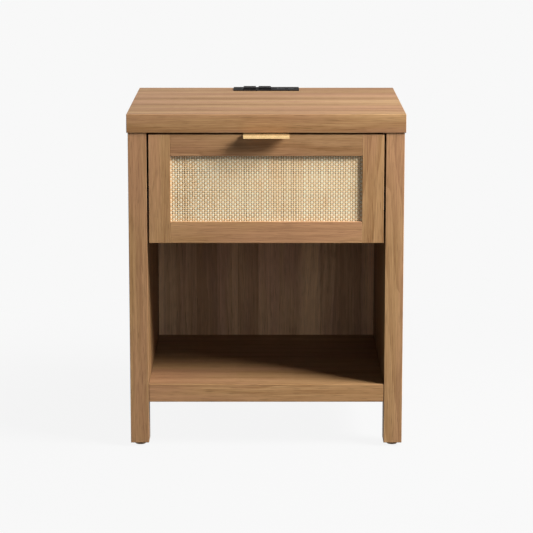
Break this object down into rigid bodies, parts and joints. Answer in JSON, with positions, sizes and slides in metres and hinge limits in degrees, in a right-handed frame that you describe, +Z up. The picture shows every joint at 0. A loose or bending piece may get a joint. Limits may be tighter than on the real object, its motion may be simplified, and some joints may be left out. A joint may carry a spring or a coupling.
{
  "type": "nightstand with drawer",
  "caption": "Bedside cabinet on four legs with a cane-fronted drawer on ball slides, an open shelf below and a charging station in the top.",
  "frame": {"origin": "on the floor, under the middle of the whole outline with the pull included", "axes": "+Z up, the drawer opens towards -Y, +X to the right as seen from the front"},
  "size_m": [0.45, 0.418, 0.5538],
  "materials": {
    "oak_laminate": "satin oak-grain laminate",
    "back_board": "satin oak-grain laminate on thin board",
    "drawer_board": "matt foil on board",
    "cane": "natural woven cane",
    "beech_dowel": "raw beech",
    "brass": "polished",
    "contact_brass": "plain",
    "brass_screw": "plated",
    "zinc_steel": "zinc plated",
    "cam_zinc": "die-cast zinc",
    "ball_steel": "polished",
    "black_plastic": "fine satin",
    "port_steel": "nickel plated",
    "circuit_board": "solder mask",
    "brown_plastic": "satin"
  },
  "bodies": {
    "carcass": {"top_panel": "oak_laminate", "front_leg_left": "oak_laminate", "front_leg_right": "oak_laminate", "rear_leg_left": "oak_laminate", "rear_leg_right": "oak_laminate", "side_panel_left": "oak_laminate", "side_panel_right": "oak_laminate", "back_panel": "back_board", "bottom_shelf": "oak_laminate", "foot_glides": "brown_plastic", "glide_nails": "zinc_steel", "cam_lock_nuts": "cam_zinc", "cam_bolts": "zinc_steel", "wood_dowels": "beech_dowel", "back_panel_screws": "zinc_steel", "station_plate": "black_plastic", "station_housing": "black_plastic", "outlet_face_left": "black_plastic", "outlet_face_right": "black_plastic", "outlet_contacts": "contact_brass", "usb_a_port": "port_steel", "usb_c_port": "port_steel", "usb_board": "circuit_board", "cable_gland": "black_plastic", "station_screws": "zinc_steel", "slide_cabinet_member_left": "zinc_steel", "slide_cabinet_member_right": "zinc_steel", "slide_cabinet_screws": "zinc_steel"},
    "drawer": {"drawer_stile_left": "oak_laminate", "drawer_stile_right": "oak_laminate", "drawer_rail_top": "oak_laminate", "drawer_rail_bottom": "oak_laminate", "frame_dowels": "beech_dowel", "cane_webbing": "cane", "cane_backing_board": "drawer_board", "drawer_box_front": "drawer_board", "drawer_side_left": "drawer_board", "drawer_side_right": "drawer_board", "drawer_box_back": "drawer_board", "drawer_floor": "drawer_board", "drawer_box_screws": "zinc_steel", "drawer_front_screws": "zinc_steel", "drawer_pull": "brass", "pull_screws": "brass_screw", "slide_drawer_member_left": "zinc_steel", "slide_drawer_member_right": "zinc_steel", "slide_drawer_screws": "zinc_steel"},
    "slide_middle_left": {"slide_middle_member_left": "zinc_steel"},
    "slide_outer_cage_left": {"slide_outer_cage_left": "zinc_steel", "slide_outer_balls_left": "ball_steel"},
    "slide_inner_cage_left": {"slide_inner_cage_left": "zinc_steel", "slide_inner_balls_left": "ball_steel"},
    "slide_middle_right": {"slide_middle_member_right": "zinc_steel"},
    "slide_outer_cage_right": {"slide_outer_cage_right": "zinc_steel", "slide_outer_balls_right": "ball_steel"},
    "slide_inner_cage_right": {"slide_inner_cage_right": "zinc_steel", "slide_inner_balls_right": "ball_steel"}
  },
  "joints": [
    {"name": "drawer_slide", "type": "slide", "parent": "carcass", "child": "drawer", "axis": [0, -1, 0], "range_m": [0, 0.33]},
    {"name": "middle_slide_left", "type": "slide", "parent": "carcass", "child": "slide_middle_left", "axis": [0, -1, 0], "range_m": [0, 0.165]},
    {"name": "outer_cage_roll_left", "type": "slide", "parent": "carcass", "child": "slide_outer_cage_left", "axis": [0, -1, 0], "range_m": [0, 0.0825]},
    {"name": "inner_cage_roll_left", "type": "slide", "parent": "slide_middle_left", "child": "slide_inner_cage_left", "axis": [0, -1, 0], "range_m": [0, 0.0825]},
    {"name": "middle_slide_right", "type": "slide", "parent": "carcass", "child": "slide_middle_right", "axis": [0, -1, 0], "range_m": [0, 0.165]},
    {"name": "outer_cage_roll_right", "type": "slide", "parent": "carcass", "child": "slide_outer_cage_right", "axis": [0, -1, 0], "range_m": [0, 0.0825]},
    {"name": "inner_cage_roll_right", "type": "slide", "parent": "slide_middle_right", "child": "slide_inner_cage_right", "axis": [0, -1, 0], "range_m": [0, 0.0825]}
  ],
  "couplings": [
    {"joint": "middle_slide_left", "follows": "drawer_slide", "ratio": 0.5},
    {"joint": "outer_cage_roll_left", "follows": "drawer_slide", "ratio": 0.25},
    {"joint": "inner_cage_roll_left", "follows": "drawer_slide", "ratio": 0.25},
    {"joint": "middle_slide_right", "follows": "drawer_slide", "ratio": 0.5},
    {"joint": "outer_cage_roll_right", "follows": "drawer_slide", "ratio": 0.25},
    {"joint": "inner_cage_roll_right", "follows": "drawer_slide", "ratio": 0.25}
  ]
}
